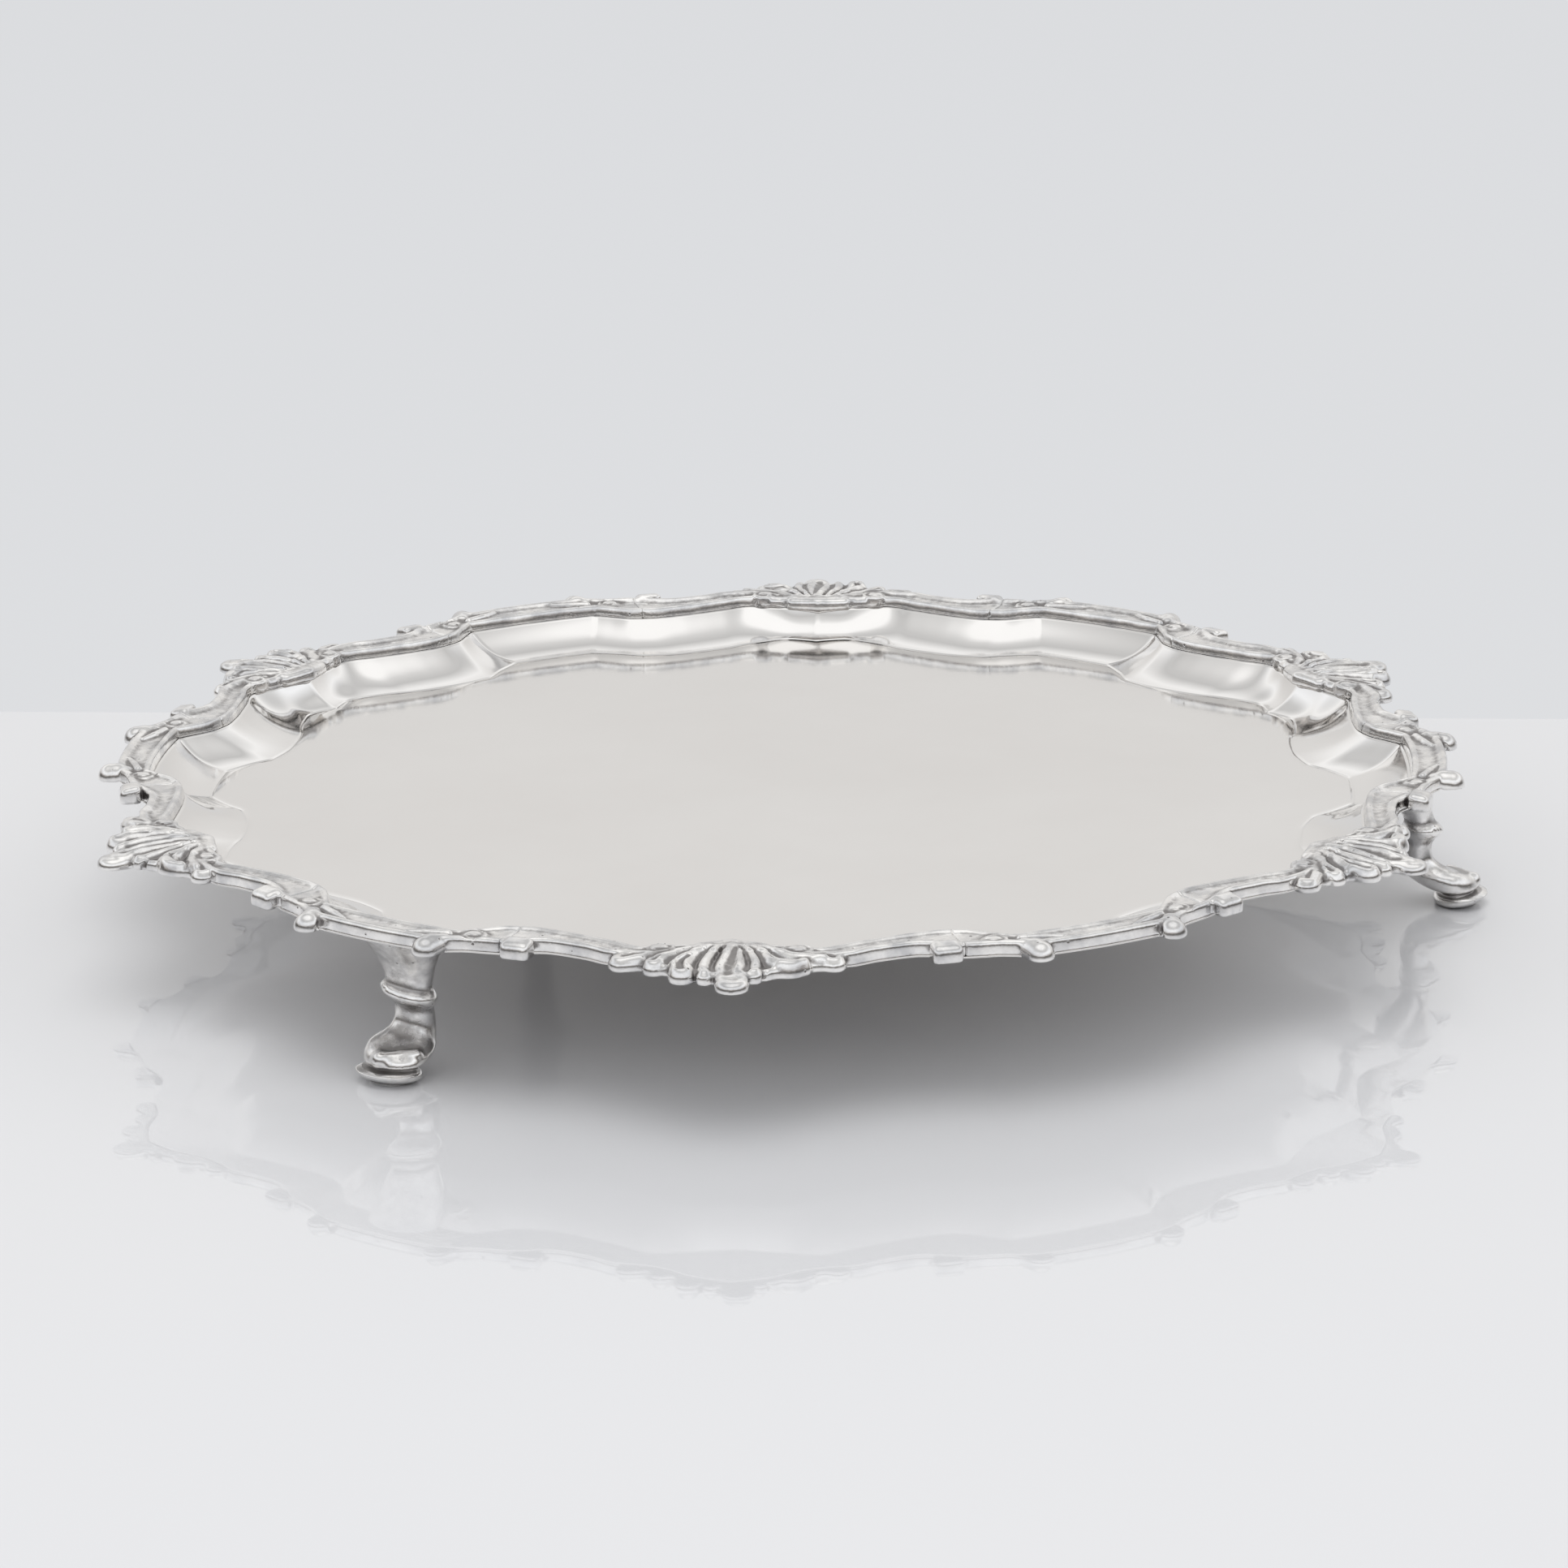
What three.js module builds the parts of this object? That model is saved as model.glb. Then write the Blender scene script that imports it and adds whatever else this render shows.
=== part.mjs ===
// A shaped silver salver (a footed tray): a raised sheet with a flat field and a coved wall, six cast shells
// and six cast scrolls soldered round its rim, and three cast hoof feet soldered underneath.
// Millimetres, +Z up. The origin is the centre of the field's top face, and a shell lies on -Y.

import * as THREE from 'three';

// ---- Driving dimensions --------------------------------------------------------------------------

const RADIUS = 152.5; // from the centre to the tip of a shell: 305 mm over the shells
const SECTORS = 6; // shells round the rim
const FOOT_LEANS = [8.6, 0, 0]; // each foot stands half-way between two shells, and the first is bent inwards

const FIELD_THICKNESS = 1.3; // the sheet in the middle
const FLANGE_THICKNESS = 0.8; // the sheet under the castings, drawn thinner by raising
const FLANGE_TOP = 5.9; // the rim above the field
const FLOOR = -24.6; // the surface that the feet stand on
const JOINT_GAP = 0.3; // left for solder between two pieces
const KNEE_GAP = 0.4; // under the curved wall

const RIDGE_TOP = 8.3; // outer ridge of the moulding
const CHANNEL_TOP = 7.3; // hollow between ridge and bead
const BEAD_TOP = 7.8; // inner bead
const SHELL_RISE = 0.9; // a shell stands this much above the moulding

const SEAM_ANGLE = 18.8; // where a shell casting meets a scroll casting, in degrees from the shell
const SHELL_HALF_ANGLE = 9.5; // the shell proper, without its arms

const SILVER = { color: 0xd9d6d1, metalness: 1.0 };
const SHEET_ROUGHNESS = 0.3;
const CASTING_ROUGHNESS = 0.22;
const FOOT_ROUGHNESS = 0.28;

// ---- Outlines, as [degrees from a shell, fraction of RADIUS] ---------------------------------------

const HALF_SECTOR = 180 / SECTORS;

// the wavy line where the flat field ends and the wall begins
const FIELD_EDGE = [[0, 0.8], [4, 0.795], [8.5, 0.77], [10, 0.758], [13, 0.745], [16.5, 0.738], [20, 0.743],
  [22.5, 0.77], [25.5, 0.79]];

// the top of the wall, where the castings begin
const WALL_TOP = [[0, 0.838], [4, 0.85], [7, 0.862], [10, 0.845], [12.5, 0.833], [15, 0.824], [17.5, 0.82],
  [20, 0.828], [22, 0.85], [23.2, 0.866]];

// the sheet's own edge, which the castings overhang
const SHEET_EDGE = [[0, 0.945], [3, 0.93], [6, 0.905], [9.5, 0.886], [12, 0.874], [15, 0.867], [18.8, 0.885],
  [21.5, 0.893], [25.5, 0.908], [30, 0.912]];

// the shell, which isn't symmetrical: its biggest lobe swirls to one side
const SHELL_EDGE = [[-9.5, 0.895], [-8.3, 0.912], [-7.3, 0.91], [-6.2, 0.926], [-4.9, 0.92], [-3.3, 0.97],
  [-1.9, 0.95], [0.7, 1], [2.2, 0.955], [2.9, 0.94], [4.7, 0.942], [6.9, 0.912], [8.2, 0.914], [9.5, 0.895]];

// a shell casting's arm, which ends in a squared knob
const ARM_EDGE = [[9.5, 0.895], [12, 0.88], [15.4, 0.872], [16, 0.898], [17.4, 0.909], [18.4, 0.904],
  [18.8, 0.896]];

// half a scroll casting, with a pointed ear
const SCROLL_EDGE = [[18.8, 0.893], [21.8, 0.901], [23, 0.93], [24, 0.943], [24.9, 0.933], [25.4, 0.917],
  [30, 0.918]];

// ---- A foot, as rings from the sole up: [height over the floor, back, front, half width] -----------

const FOOT_RINGS = [
  [0, 138.4, 147.2, 4.6],
  [1.4, 137.9, 148.6, 6.6],
  [2.7, 138.3, 149.3, 7.1], // the turned-up end of the sole
  [3.1, 138, 146.4, 5.9], // groove between sole and pad
  [3.7, 135.4, 147.2, 6.5],
  [6.4, 132.2, 146.4, 6.4], // lip of the pad
  [8, 131.3, 142.5, 5.1],
  [10.4, 130.9, 137.9, 4.1], // ankle
  [13.6, 131.5, 137.6, 4.3],
  [15.4, 131.9, 139, 5.3],
  [16.8, 131.2, 139.3, 5.6], // collar
  [18.1, 131.6, 138, 4.8],
  [20.4, 130.6, 137, 5.3],
];
const KNEE_TOP = { back: 123, front: 138, halfWidth: 7.4 }; // against the sheet's underside
const KNEE_STEPS = 3;
const KNEE_SPREAD = 1.5; // how late the knee widens towards its top
const KNEE_CROWN = [0.6, 0.25]; // rings inside the knee's top, which follows the sheet
const LEAN_HEIGHT = 30; // a bent foot leans below this height
const LEAN_POWER = 3;
const FOOT_SIDES = 14;

// ---- Small tools ------------------------------------------------------------------------------------

const radians = THREE.MathUtils.degToRad;
const lerp = THREE.MathUtils.lerp;

// A smooth curve through points, which doesn't overshoot and is level past its ends.
function curveThrough(points) {
  const count = points.length;
  const slopes = points.slice(1).map((p, i) => (p[1] - points[i][1]) / (p[0] - points[i][0]));
  const tangents = points.map((_, i) => {
    if (i === 0) return slopes[0];
    if (i === count - 1) return slopes[count - 2];
    const [before, after] = [slopes[i - 1], slopes[i]];
    return before * after > 0 ? (2 * before * after) / (before + after) : 0;
  });
  return (x) => {
    if (x <= points[0][0]) return points[0][1];
    if (x >= points[count - 1][0]) return points[count - 1][1];
    const i = points.findIndex((p, n) => n < count - 1 && x <= points[n + 1][0]);
    const width = points[i + 1][0] - points[i][0];
    const t = (x - points[i][0]) / width;
    const [t2, t3] = [t * t, t * t * t];
    return (2 * t3 - 3 * t2 + 1) * points[i][1] + (t3 - 2 * t2 + t) * width * tangents[i]
      + (3 * t2 - 2 * t3) * points[i + 1][1] + (t3 - t2) * width * tangents[i + 1];
  };
}

// The angle to the nearest shell, from 0 to HALF_SECTOR.
function fromShell(angle) {
  const turn = 2 * HALF_SECTOR;
  const within = ((angle % turn) + turn) % turn;
  return Math.min(within, turn - within);
}

const mirrored = (points) => {
  const curve = curveThrough(points);
  return (angle) => RADIUS * curve(fromShell(angle));
};
const fieldEdge = mirrored(FIELD_EDGE);
const wallTop = mirrored(WALL_TOP);
const sheetEdge = mirrored(SHEET_EDGE);

const shellCurve = curveThrough(SHELL_EDGE);
const armCurve = curveThrough(ARM_EDGE);
const scrollCurve = curveThrough(SCROLL_EDGE);
function castingEdge(angle) {
  if (Math.abs(angle) < SHELL_HALF_ANGLE) return RADIUS * shellCurve(angle);
  const away = fromShell(angle);
  return RADIUS * (away < SEAM_ANGLE ? armCurve(away) : scrollCurve(away));
}

// A point at an angle anticlockwise from -Y, at a distance from the axis and a height.
function polar(angle, radius, height) {
  return new THREE.Vector3(radius * Math.sin(radians(angle)), -radius * Math.cos(radians(angle)), height);
}

function meshFrom(name, vertices, triangles, roughness) {
  const geometry = new THREE.BufferGeometry();
  geometry.setAttribute('position', new THREE.Float32BufferAttribute(vertices.flatMap((v) => v.toArray()), 3));
  geometry.setIndex(triangles.flat());
  geometry.computeVertexNormals();
  const mesh = new THREE.Mesh(geometry, new THREE.MeshStandardMaterial({ ...SILVER, roughness }));
  mesh.name = name;
  return mesh;
}

// The triangles between two rings of points, numbered from a and from b.
function band(a, b, count) {
  const triangles = [];
  for (let i = 0; i < count; i += 1) {
    const next = (i + 1) % count;
    triangles.push([a + i, a + next, b + next], [a + i, b + next, b + i]);
  }
  return triangles;
}

// ---- The sheet ----------------------------------------------------------------------------------------

// The cove's height over the field, for a share of the way from the field's edge to the top of the wall.
const COVE_FOOT = 0.28; // the part of the rise that is a plain slope, so that the wall's foot is a crease
const COVE_POWER = 2.7;
const WALL_SHARES = [0, 0.35, 0.7, 1]; // rings up the wall
const coveHeight = (share) => FLANGE_TOP * (COVE_FOOT * share + (1 - COVE_FOOT) * share ** COVE_POWER);

// The sheet's thickness is measured square to the wall.
function underWall(angle, share) {
  const width = wallTop(angle) - fieldEdge(angle);
  const rise = FLANGE_TOP * (COVE_FOOT + (1 - COVE_FOOT) * COVE_POWER * share ** (COVE_POWER - 1));
  const slope = Math.atan2(rise, width);
  const thickness = lerp(FIELD_THICKNESS, FLANGE_THICKNESS, share);
  if (share === 1) return { radius: wallTop(angle) + thickness, height: FLANGE_TOP - thickness };
  return {
    radius: fieldEdge(angle) + width * share + thickness * Math.sin(slope),
    height: coveHeight(share) - thickness * Math.cos(slope),
  };
}

// The height of the sheet's underside at a distance from the axis.
function undersideAt(angle, radius) {
  const steps = WALL_SHARES.map((share) => underWall(angle, share));
  if (radius <= steps[0].radius) return steps[0].height;
  const i = steps.findIndex((step, n) => n > 0 && radius <= step.radius);
  if (i < 0) return steps[steps.length - 1].height;
  const t = (radius - steps[i - 1].radius) / (steps[i].radius - steps[i - 1].radius);
  return lerp(steps[i - 1].height, steps[i].height, t);
}

// Stations round one half-sector, closest where the outline turns sharply.
const SHEET_STATIONS = [0, 4, 7, 8.5, 10, 12, 14.5, 17, 19.5, 21.2, 22.4, 23.2, 24.4, 25.5, 27.8];

function sheetAngles() {
  const angles = [];
  for (let sector = 0; sector < SECTORS; sector += 1) {
    const start = sector * 2 * HALF_SECTOR;
    SHEET_STATIONS.forEach((angle) => angles.push(start + angle));
    angles.push(start + HALF_SECTOR);
    SHEET_STATIONS.slice(1).reverse().forEach((angle) => angles.push(start + 2 * HALF_SECTOR - angle));
  }
  return angles;
}

function salverPlate() {
  const angles = sheetAngles();
  const ring = (place) => angles.map((angle) => {
    const { radius, height } = place(angle);
    return polar(angle, radius, height);
  });
  const onWall = (share) => (angle) => ({
    radius: lerp(fieldEdge(angle), wallTop(angle), share), height: coveHeight(share),
  });
  const rings = [
    ...WALL_SHARES.map((share) => ring(onWall(share))),
    ring((angle) => ({ radius: sheetEdge(angle), height: FLANGE_TOP })),
    ring((angle) => ({ radius: sheetEdge(angle), height: FLANGE_TOP - FLANGE_THICKNESS })),
    ...WALL_SHARES.toReversed().map((share) => ring((angle) => underWall(angle, share))),
  ];
  const vertices = [...rings.flat(), new THREE.Vector3(0, 0, 0), new THREE.Vector3(0, 0, -FIELD_THICKNESS)];
  const count = angles.length;
  const last = (rings.length - 1) * count;
  const [topCentre, bottomCentre] = [rings.length * count, rings.length * count + 1];
  const triangles = [];
  for (let i = 0; i < count; i += 1) {
    const next = (i + 1) % count;
    triangles.push([topCentre, i, next], [bottomCentre, last + next, last + i]);
  }
  for (let i = 1; i < rings.length; i += 1) triangles.push(...band(i * count, (i - 1) * count, count));
  return meshFrom('salver_plate', vertices, triangles, SHEET_ROUGHNESS);
}

// ---- The cast border ------------------------------------------------------------------------------------

const RIDGE_SET_BACK = 1.6; // the top of the ridge, in from the casting's edge
const CHANNEL_SET_BACK = 2.7;
const BEAD_WIDTH = 1.9;
const ROUNDING = [0.7, 0.15]; // how far in and down the ridge's outer shoulder is
const FACE_BULGE = 0.1;

// The moulding's section, from its inner bottom corner outwards and back over the top.
function borderSection(angle) {
  const inner = wallTop(angle);
  const outer = castingEdge(angle);
  const bottom = FLANGE_TOP + JOINT_GAP;
  const shell = Math.max(0, 1 - (angle / SHELL_HALF_ANGLE) ** 2); // 1 in the middle of a shell
  const rise = SHELL_RISE * shell;
  const channel = lerp(CHANNEL_TOP, RIDGE_TOP, shell);
  return [
    [inner + FACE_BULGE, bottom],
    [outer, bottom],
    [outer + FACE_BULGE, (bottom + RIDGE_TOP) / 2],
    [outer - ROUNDING[0], RIDGE_TOP + rise - ROUNDING[1]],
    [outer - RIDGE_SET_BACK, RIDGE_TOP + rise],
    [outer - CHANNEL_SET_BACK, channel + rise],
    [inner + BEAD_WIDTH, channel + rise],
    [inner + BEAD_WIDTH / 2, BEAD_TOP + rise],
    [inner, (bottom + BEAD_TOP) / 2],
  ];
}

// A casting is its section swept round the axis and closed at both ends.
function casting(name, stations, turn) {
  const sections = stations.map(borderSection);
  const count = sections[0].length;
  const vertices = sections.flatMap((section, i) => (
    section.map(([radius, height]) => polar(stations[i] + turn, radius, height))));
  const cap = (section) => THREE.ShapeUtils.triangulateShape(section.map((p) => new THREE.Vector2(...p)), []);
  const last = (stations.length - 1) * count;
  const triangles = [
    ...cap(sections[0]),
    ...cap(sections.at(-1)).map(([a, b, c]) => [last + a, last + c, last + b]),
  ];
  for (let i = 1; i < stations.length; i += 1) triangles.push(...band(i * count, (i - 1) * count, count));
  return meshFrom(name, vertices, triangles, CASTING_ROUGHNESS);
}

const SEAM_RADIUS = 0.86 * RADIUS; // the middle of the border at a seam
const SEAM_HALF_GAP = THREE.MathUtils.radToDeg(JOINT_GAP / 2 / SEAM_RADIUS);

function shellStations() {
  const arm = [9.5, 12, 14, 15.4, 16, 17.4, 18.2, SEAM_ANGLE - SEAM_HALF_GAP];
  const shell = SHELL_EDGE.slice(1, -1).map((point) => point[0]);
  return [...arm.toReversed().map((angle) => -angle), ...shell, ...arm];
}

// A scroll casting lies across the middle between two shells.
function scrollStations() {
  const half = [SEAM_ANGLE + SEAM_HALF_GAP, 21.8, 22.5, 23.2, 24, 24.8, 25.4, 27.6, HALF_SECTOR];
  return [...half, ...half.slice(0, -1).toReversed().map((angle) => 2 * HALF_SECTOR - angle)];
}

// ---- The feet ---------------------------------------------------------------------------------------------

// A ring across the foot, in the foot's own frame: outwards from the salver's axis, across, and height.
function footRing(back, front, halfWidth, heightAt) {
  const points = [];
  const [centre, halfDepth] = [(back + front) / 2, (front - back) / 2];
  for (let i = 0; i < FOOT_SIDES; i += 1) {
    const turn = (2 * Math.PI * i) / FOOT_SIDES;
    const out = centre + halfDepth * Math.cos(turn);
    const across = halfWidth * Math.sin(turn);
    points.push([out, across, heightAt(out, across)]);
  }
  return points;
}

function underKnee(out, across) {
  const radius = Math.hypot(out, across);
  const away = HALF_SECTOR + THREE.MathUtils.radToDeg(Math.atan2(across, out));
  return undersideAt(away, radius) - KNEE_GAP;
}

function foot(name, turn, lean) {
  const bent = (height) => lean * (1 - (height / LEAN_HEIGHT) ** LEAN_POWER);
  const rings = FOOT_RINGS.map(([height, back, front, halfWidth]) => (
    footRing(back - bent(height), front - bent(height), halfWidth, () => FLOOR + height)));
  const start = rings.at(-1);
  const top = footRing(KNEE_TOP.back, KNEE_TOP.front, KNEE_TOP.halfWidth, underKnee);
  for (let step = 1; step <= KNEE_STEPS; step += 1) {
    const up = step / KNEE_STEPS;
    const spread = up ** KNEE_SPREAD;
    rings.push(start.map((from, i) => [
      lerp(from[0], top[i][0], spread),
      lerp(from[1], top[i][1], spread),
      lerp(from[2], top[i][2], up),
    ]));
  }
  const soleMiddle = (FOOT_RINGS[0][1] + FOOT_RINGS[0][2]) / 2 - lean;
  const kneeMiddle = (KNEE_TOP.back + KNEE_TOP.front) / 2;
  KNEE_CROWN.forEach((share) => {
    rings.push(top.map(([out, across]) => {
      const inwards = lerp(kneeMiddle, out, share);
      return [inwards, across * share, underKnee(inwards, across * share)];
    }));
  });
  const points = [
    ...rings.flat(),
    [soleMiddle, 0, FLOOR],
    [kneeMiddle, 0, underKnee(kneeMiddle, 0)],
  ];
  const vertices = points.map(([out, across, height]) => (
    new THREE.Vector3(out, across, height).applyAxisAngle(new THREE.Vector3(0, 0, 1), radians(turn - 90))));
  const last = (rings.length - 1) * FOOT_SIDES;
  const [soleCentre, crownCentre] = [points.length - 2, points.length - 1];
  const triangles = [];
  for (let i = 0; i < FOOT_SIDES; i += 1) {
    const next = (i + 1) % FOOT_SIDES;
    triangles.push([soleCentre, next, i], [crownCentre, last + i, last + next]);
  }
  for (let i = 1; i < rings.length; i += 1) {
    triangles.push(...band((i - 1) * FOOT_SIDES, i * FOOT_SIDES, FOOT_SIDES));
  }
  return meshFrom(name, vertices, triangles, FOOT_ROUGHNESS);
}

// ---- Assembly -----------------------------------------------------------------------------------------------

const salver = new THREE.Group();
salver.add(salverPlate());
for (let i = 0; i < SECTORS; i += 1) {
  const turn = i * 2 * HALF_SECTOR;
  salver.add(casting(`shell_casting_${i + 1}`, shellStations(), turn));
  salver.add(casting(`scroll_casting_${i + 1}`, scrollStations(), turn));
}
FOOT_LEANS.forEach((lean, i) => {
  salver.add(foot(`foot_${i + 1}`, (i * 360) / FOOT_LEANS.length - HALF_SECTOR, lean));
});

export default salver;
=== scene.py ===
"""A shaped silver salver: the fine surface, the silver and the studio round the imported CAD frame."""

import math

import bpy
import numpy as np
from mathutils import Matrix, Vector

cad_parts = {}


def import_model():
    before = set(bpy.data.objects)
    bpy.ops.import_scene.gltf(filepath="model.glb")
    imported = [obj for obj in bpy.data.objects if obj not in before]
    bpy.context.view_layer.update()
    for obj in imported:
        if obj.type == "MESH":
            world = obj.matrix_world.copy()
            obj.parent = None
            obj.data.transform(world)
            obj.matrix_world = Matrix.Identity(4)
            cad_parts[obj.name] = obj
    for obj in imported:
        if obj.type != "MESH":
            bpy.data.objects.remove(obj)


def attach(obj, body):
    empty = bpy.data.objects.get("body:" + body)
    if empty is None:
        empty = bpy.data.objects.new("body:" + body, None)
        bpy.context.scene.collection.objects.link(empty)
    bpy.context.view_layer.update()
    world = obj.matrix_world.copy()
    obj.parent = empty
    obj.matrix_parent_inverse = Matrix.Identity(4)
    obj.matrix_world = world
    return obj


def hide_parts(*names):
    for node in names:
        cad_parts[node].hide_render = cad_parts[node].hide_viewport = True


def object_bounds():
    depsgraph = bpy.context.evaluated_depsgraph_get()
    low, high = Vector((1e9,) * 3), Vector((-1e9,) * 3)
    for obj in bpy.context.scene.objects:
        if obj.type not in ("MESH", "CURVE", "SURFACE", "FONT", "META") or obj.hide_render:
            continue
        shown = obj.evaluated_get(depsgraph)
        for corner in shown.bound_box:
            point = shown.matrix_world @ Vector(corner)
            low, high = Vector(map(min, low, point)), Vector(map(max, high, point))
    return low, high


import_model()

CAD_LOW, CAD_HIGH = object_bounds()

# ---- Sizes, in millimetres in the CAD frame: the origin is the centre of the field's top face ----

MM = 0.001
RADIUS = (CAD_HIGH.y - CAD_LOW.y) / 2 / MM  # over the shells, which lie on the Y axis
FLOOR = CAD_LOW.z / MM
SECTOR = 60.0  # degrees from one shell to the next
HALF_SECTOR = SECTOR / 2
SEAM = 18.8  # degrees from a shell to the end of its casting
SEAM_OVERLAP = 0.03  # how far a casting runs past its end, so that no slit shows

FIELD_THICKNESS = 1.3
FLANGE_TOP = 5.5
FLANGE_BOTTOM = 5.1
SEAT_GAP = 0.02  # between the flange and the castings on it
OVERHANG = 0.4  # how far past the sheet's rim a casting's underside is still cut to the flange

# The moulding's section. A crest's inset is from the moulding's own edge beside it.
RIDGE_TOP = 8.3
RIDGE_INSET = 0.8
RIDGE_WIDTH = 1.2
CHANNEL = 7.35
BEAD_TOP = 7.95
BEAD_INSET = 0.95
BEAD_WIDTH = 0.8
BEAD_FALL = 1.6  # from the bead's crest to the moulding's inner edge
EDGE_ROUNDING = 0.6

COVE_HEIGHT = 5.6
COVE_FOOT = 0.28  # the share of the wall's height that rises evenly
COVE_POWER = 2.7
CREASE = [[2, 0], [0.6, 0], [0.45, 0.02], [0.15, 0.13], [0, 0.13]]  # round the field, as [inset, depth]

CLAY_STEP = 0.3  # the grid on which castings are modelled
CLAY_LOW, CLAY_HIGH = 3, 11  # the heights between which the border's castings lie
UNDER_ROUNDING = 0.5  # on a casting's lower edges
SHARP = 0.03  # how little a cut is rounded that has to stay sharp
FAR = 999.0  # farther than anything on the salver
TINY = 1e-9  # stands in for a length of nothing, so that it can divide

# ---- Outlines, as [degrees from a shell, fraction of RADIUS] ----

FIELD_EDGE = [[0, 0.788], [1, 0.7935], [3.2, 0.801], [5.5, 0.79], [8.5, 0.77], [10, 0.758], [13, 0.745],
              [16.5, 0.738], [20, 0.743], [22.5, 0.765], [25.5, 0.79]]
WALL_TOP = [[0, 0.838], [4, 0.85], [7, 0.862], [10, 0.845], [12.5, 0.833], [15, 0.824], [17.5, 0.82],
            [20, 0.828], [22, 0.85], [23.2, 0.866]]
# Away from the shells, the moulding's outer edge and the sheet's rim are one line.
PLAIN_EDGE = [[12, 0.88], [15, 0.872], [18.8, 0.893], [21.5, 0.9], [23.2, 0.911], [24.6, 0.9165], [30, 0.918]]
# The moulding sweeps in under a shell's root, and the rim stays short of its lobes.
EDGE = [[0, 0.862], [2.5, 0.868], [4, 0.882], [5.5, 0.892], [7.5, 0.897], [9.5, 0.895], *PLAIN_EDGE]
RIM = [[0, 0.94], [3, 0.925], [6, 0.9], [8, 0.895], [9.5, 0.894], *PLAIN_EDGE]
# Stations round the wall, as [degrees at its foot, degrees at its top].
STATIONS = [[0, 0], [7.6, 7], [17, 17.5], [25.5, 23.2], [30, 30]]


def curve_through(points):
    """A smooth curve through points that doesn't overshoot, and is level past its ends."""
    x, y = np.array(points, float).T
    width = np.diff(x)
    slope = np.diff(y) / width
    tangent = np.empty_like(x)
    tangent[0], tangent[-1] = slope[0], slope[-1]
    before, after = slope[:-1], slope[1:]
    same_way = before * after > 0
    both = np.where(same_way, before + after, 1)
    tangent[1:-1] = np.where(same_way, 2 * before * after / both, 0)

    def curve(at):
        at = np.clip(at, x[0], x[-1])
        i = np.clip(np.searchsorted(x, at, side="right") - 1, 0, len(width) - 1)
        t = (at - x[i]) / width[i]
        t2, t3 = t * t, t * t * t
        return ((2 * t3 - 3 * t2 + 1) * y[i] + (t3 - 2 * t2 + t) * width[i] * tangent[i]
                + (3 * t2 - 2 * t3) * y[i + 1] + (t3 - t2) * width[i] * tangent[i + 1])

    return curve


def from_shell(angle):
    """How far an angle is from the nearest shell's."""
    within = np.mod(angle, SECTOR)
    return np.minimum(within, SECTOR - within)


def mirrored(points):
    """An outline's radius in millimetres at any angle, the same on both sides of each shell."""
    curve = curve_through(points)
    return lambda angle: RADIUS * curve(from_shell(angle))


field_edge = mirrored(FIELD_EDGE)
wall_top = mirrored(WALL_TOP)
edge = mirrored(EDGE)
rim_edge = mirrored(RIM)


def polar(angle, radius, height):
    """A point at an angle anticlockwise from -Y."""
    turn = np.radians(angle)
    return np.stack(np.broadcast_arrays(radius * np.sin(turn), -radius * np.cos(turn), height), -1)


def plan_polar(x, y):
    """The angle and the radius of points in plan: polar() the other way."""
    return np.degrees(np.arctan2(x, -y)), np.hypot(x, y)


def knots(points):
    """[[degrees, fraction of RADIUS, height, radius], ...] as points in millimetres."""
    return [[*polar(k, r * RADIUS, z), ball] for k, r, z, ball in points]


def cove_height(share):
    """The wall's height, from its foot at share 0 to its top at share 1."""
    return COVE_HEIGHT * (COVE_FOOT * share + (1 - COVE_FOOT) * share ** COVE_POWER)


def sheet_thickness(share):
    """The wall's thickness: hammered out from the field's to the flange's."""
    flange = FLANGE_TOP - FLANGE_BOTTOM
    return flange + (FIELD_THICKNESS - flange) * (1 - share) ** 2


# ---- Modelling clay: a distance field on a grid, to which shapes are added or from which they are cut ----


def smooth_min(a, b, blend):
    share = np.clip(0.5 + 0.5 * (b - a) / blend, 0, 1)
    return b + (a - b) * share - blend * share * (1 - share)


def smooth_max(a, b, blend):
    return -smooth_min(-a, -b, blend)


def hump(distance, width):
    return np.exp(-(distance / width) ** 2)


def fade(value, start, end):
    """Turns evenly from 0 at start to 1 at end."""
    return np.clip((value - start) / (end - start), 0, 1)


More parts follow.
